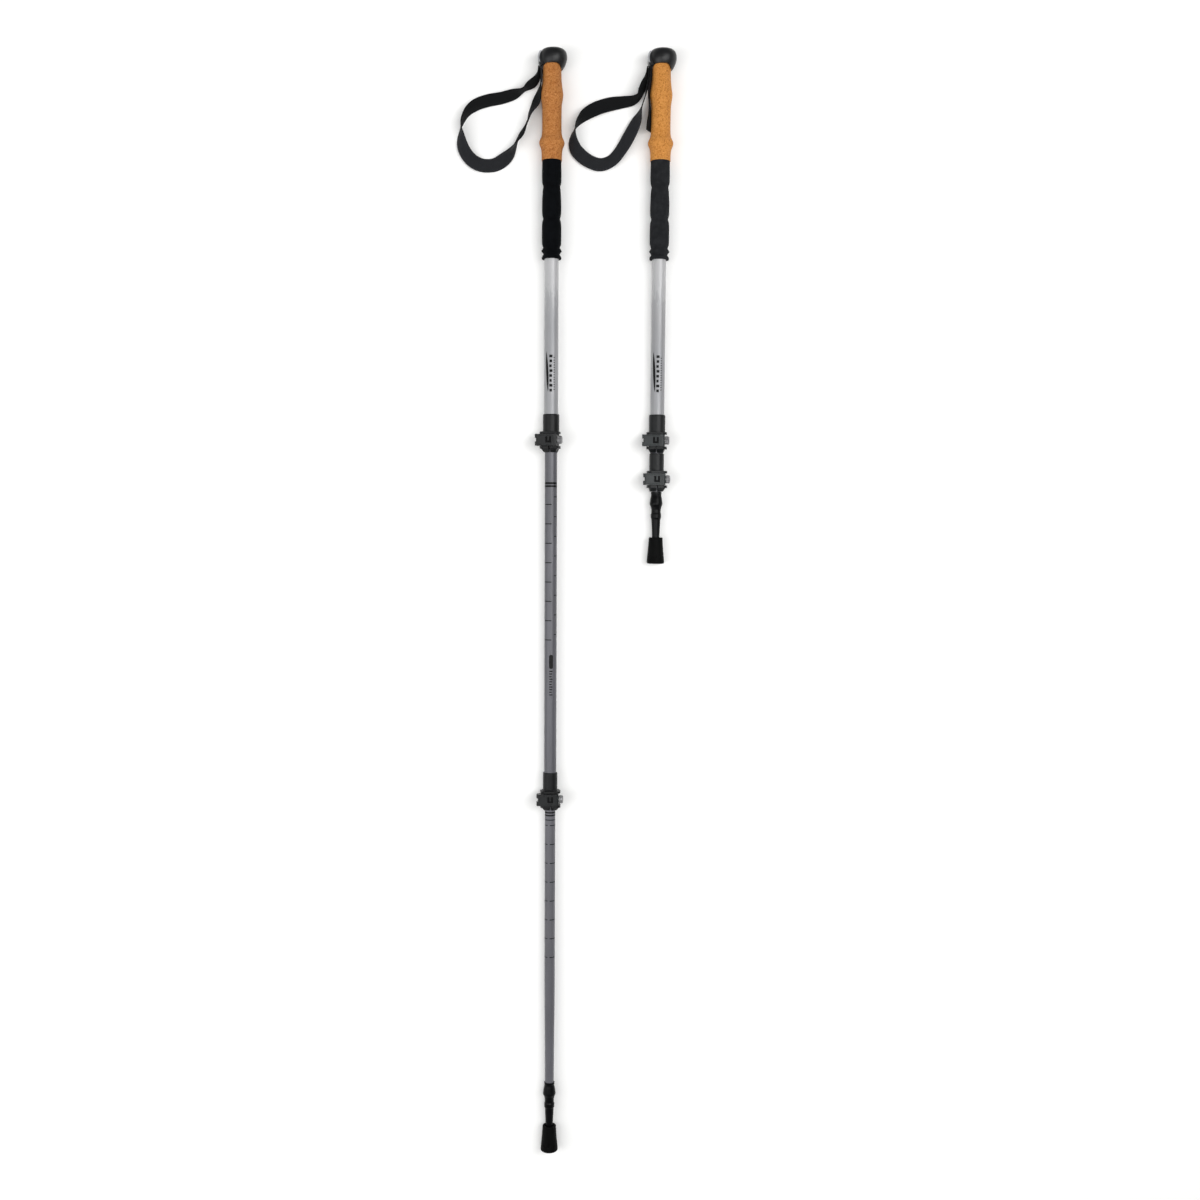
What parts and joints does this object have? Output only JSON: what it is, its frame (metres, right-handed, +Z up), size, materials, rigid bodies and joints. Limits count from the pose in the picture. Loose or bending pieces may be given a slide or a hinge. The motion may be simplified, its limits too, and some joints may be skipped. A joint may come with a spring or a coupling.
{
  "type": "pair of trekking poles",
  "caption": "Pair of three-section telescoping trekking poles with cork and foam grips, wrist straps, lever locks and rubber feet; one drawn out, one collapsed.",
  "frame": {"origin": "on the surface the poles lie on, midway between the outermost points of the pair without its straps", "axes": "+Z up, +Y along the poles towards their handles, +X from the drawn-out left pole to the collapsed right pole"},
  "size_m": [0.2801, 1.4301, 0.035],
  "materials": {
    "head_plastic": "satin moulded nylon",
    "wedge_plastic": "satin moulded grey nylon",
    "cork": "sanded pressed cork with fine dark grain",
    "foam": "matte closed-cell foam",
    "webbing": "woven polyester webbing",
    "upper_shaft_paint": "satin pale grey coating",
    "middle_shaft_paint": "satin grey coating",
    "lower_shaft_paint": "satin dark grey coating",
    "lock_plastic": "fine-textured glass-filled nylon",
    "lever_plastic": "satin moulded nylon",
    "knob_metal": "anodised, fluted edge",
    "steel": "turned steel",
    "bushing_plastic": "natural acetal",
    "ferrule_plastic": "satin moulded nylon",
    "foot_rubber": "moulded black rubber"
  },
  "bodies": {
    "left_upper": {"left_head_cap": "head_plastic", "left_anchor_pin": "steel", "left_grip_core": "lock_plastic", "left_cork_grip": "cork", "left_foam_grip": "foam", "left_wrist_strap": "webbing", "left_upper_shaft": "upper_shaft_paint", "left_upper_clamp": "lock_plastic", "left_upper_barrel_nut": "steel", "left_upper_washer": "steel"},
    "left_wedge": {"left_strap_wedge": "wedge_plastic"},
    "left_upper_lock_lever": {"left_upper_lever": "lever_plastic"},
    "left_upper_lock_knob": {"left_upper_screw": "steel", "left_upper_thumb_knob": "knob_metal"},
    "left_middle": {"left_middle_shaft": "middle_shaft_paint", "left_middle_bushing": "bushing_plastic", "left_lower_clamp": "lock_plastic", "left_lower_barrel_nut": "steel", "left_lower_washer": "steel"},
    "left_lower_lock_lever": {"left_lower_lever": "lever_plastic"},
    "left_lower_lock_knob": {"left_lower_screw": "steel", "left_lower_thumb_knob": "knob_metal"},
    "left_lower": {"left_lower_shaft": "lower_shaft_paint", "left_lower_bushing": "bushing_plastic", "left_ferrule": "ferrule_plastic", "left_carbide_tip": "steel"},
    "left_foot": {"left_rubber_foot": "foot_rubber", "left_foot_insert": "steel"},
    "right_upper": {"right_head_cap": "head_plastic", "right_anchor_pin": "steel", "right_grip_core": "lock_plastic", "right_cork_grip": "cork", "right_foam_grip": "foam", "right_wrist_strap": "webbing", "right_upper_shaft": "upper_shaft_paint", "right_upper_clamp": "lock_plastic", "right_upper_barrel_nut": "steel", "right_upper_washer": "steel", "right_strap_tail": "webbing"},
    "right_wedge": {"right_strap_wedge": "wedge_plastic"},
    "right_upper_lock_lever": {"right_upper_lever": "lever_plastic"},
    "right_upper_lock_knob": {"right_upper_screw": "steel", "right_upper_thumb_knob": "knob_metal"},
    "right_middle": {"right_middle_shaft": "middle_shaft_paint", "right_middle_bushing": "bushing_plastic", "right_lower_clamp": "lock_plastic", "right_lower_barrel_nut": "steel", "right_lower_washer": "steel"},
    "right_lower_lock_lever": {"right_lower_lever": "lever_plastic"},
    "right_lower_lock_knob": {"right_lower_screw": "steel", "right_lower_thumb_knob": "knob_metal"},
    "right_lower": {"right_lower_shaft": "lower_shaft_paint", "right_lower_bushing": "bushing_plastic", "right_ferrule": "ferrule_plastic", "right_carbide_tip": "steel"},
    "right_foot": {"right_rubber_foot": "foot_rubber", "right_foot_insert": "steel"}
  },
  "joints": [
    {"name": "left_wedge_pull", "type": "slide", "parent": "left_upper", "child": "left_wedge", "axis": [-1, 0, 0], "range_m": [0, 0.008]},
    {"name": "left_upper_lever_open", "type": "hinge", "parent": "left_upper", "child": "left_upper_lock_lever", "pos_m": [-0.08615, 0.22216, 0.0257], "axis": [0, -1, -0.0043], "range_deg": [0, 120]},
    {"name": "left_upper_knob_turn", "type": "hinge", "parent": "left_upper", "child": "left_upper_lock_knob", "pos_m": [-0.07189, 0.22215, 0.0277], "axis": [0.9903, -0.0006, 0.1392], "continuous": true},
    {"name": "left_lower_lever_open", "type": "hinge", "parent": "left_middle", "child": "left_lower_lock_lever", "pos_m": [-0.08364, -0.24245, 0.0268], "axis": [0, -1, -0.0043], "range_deg": [0, 120]},
    {"name": "left_lower_knob_turn", "type": "hinge", "parent": "left_middle", "child": "left_lower_lock_knob", "pos_m": [-0.06928, -0.24244, 0.02579], "axis": [0.9976, 0.0003, -0.0698], "continuous": true},
    {"name": "left_middle_collapse", "type": "slide", "parent": "left_upper", "child": "left_middle", "axis": [0, 1, 0.0043], "range_m": [0, 0.4151]},
    {"name": "left_lower_collapse", "type": "slide", "parent": "left_middle", "child": "left_lower", "axis": [0, 1, 0.0043], "range_m": [0, 0.3637]},
    {"name": "left_foot_pull", "type": "slide", "parent": "left_lower", "child": "left_foot", "axis": [0, -1, -0.0043], "range_m": [0, 0.045]},
    {"name": "right_pole_away", "type": "slide", "parent": "left_upper", "child": "right_upper", "axis": [1, 0, 0], "range_m": [0, 0.15]},
    {"name": "right_wedge_pull", "type": "slide", "parent": "right_upper", "child": "right_wedge", "axis": [-1, 0.0052, 0], "range_m": [0, 0.008]},
    {"name": "right_upper_lever_open", "type": "hinge", "parent": "right_upper", "child": "right_upper_lock_lever", "pos_m": [0.05088, 0.2222, 0.02398], "axis": [-0.0052, -0.9999, -0.0095], "range_deg": [0, 120]},
    {"name": "right_upper_knob_turn", "type": "hinge", "parent": "right_upper", "child": "right_upper_lock_knob", "pos_m": [0.06523, 0.22212, 0.02524], "axis": [0.9962, -0.006, 0.0872], "continuous": true},
    {"name": "right_lower_lever_open", "type": "hinge", "parent": "right_middle", "child": "right_lower_lock_lever", "pos_m": [0.0521, 0.17268, 0.02531], "axis": [-0.0052, -0.9999, -0.0095], "range_deg": [0, 120]},
    {"name": "right_lower_knob_turn", "type": "hinge", "parent": "right_middle", "child": "right_lower_lock_knob", "pos_m": [0.0665, 0.17261, 0.02481], "axis": [0.9994, -0.0049, -0.0349], "continuous": true},
    {"name": "right_middle_extend", "type": "slide", "parent": "right_upper", "child": "right_middle", "axis": [-0.0052, -0.9999, -0.0095], "range_m": [0, 0.4151]},
    {"name": "right_lower_extend", "type": "slide", "parent": "right_middle", "child": "right_lower", "axis": [-0.0052, -0.9999, -0.0095], "range_m": [0, 0.3637]},
    {"name": "right_foot_pull", "type": "slide", "parent": "right_lower", "child": "right_foot", "axis": [-0.0052, -0.9999, -0.0095], "range_m": [0, 0.045]}
  ]
}
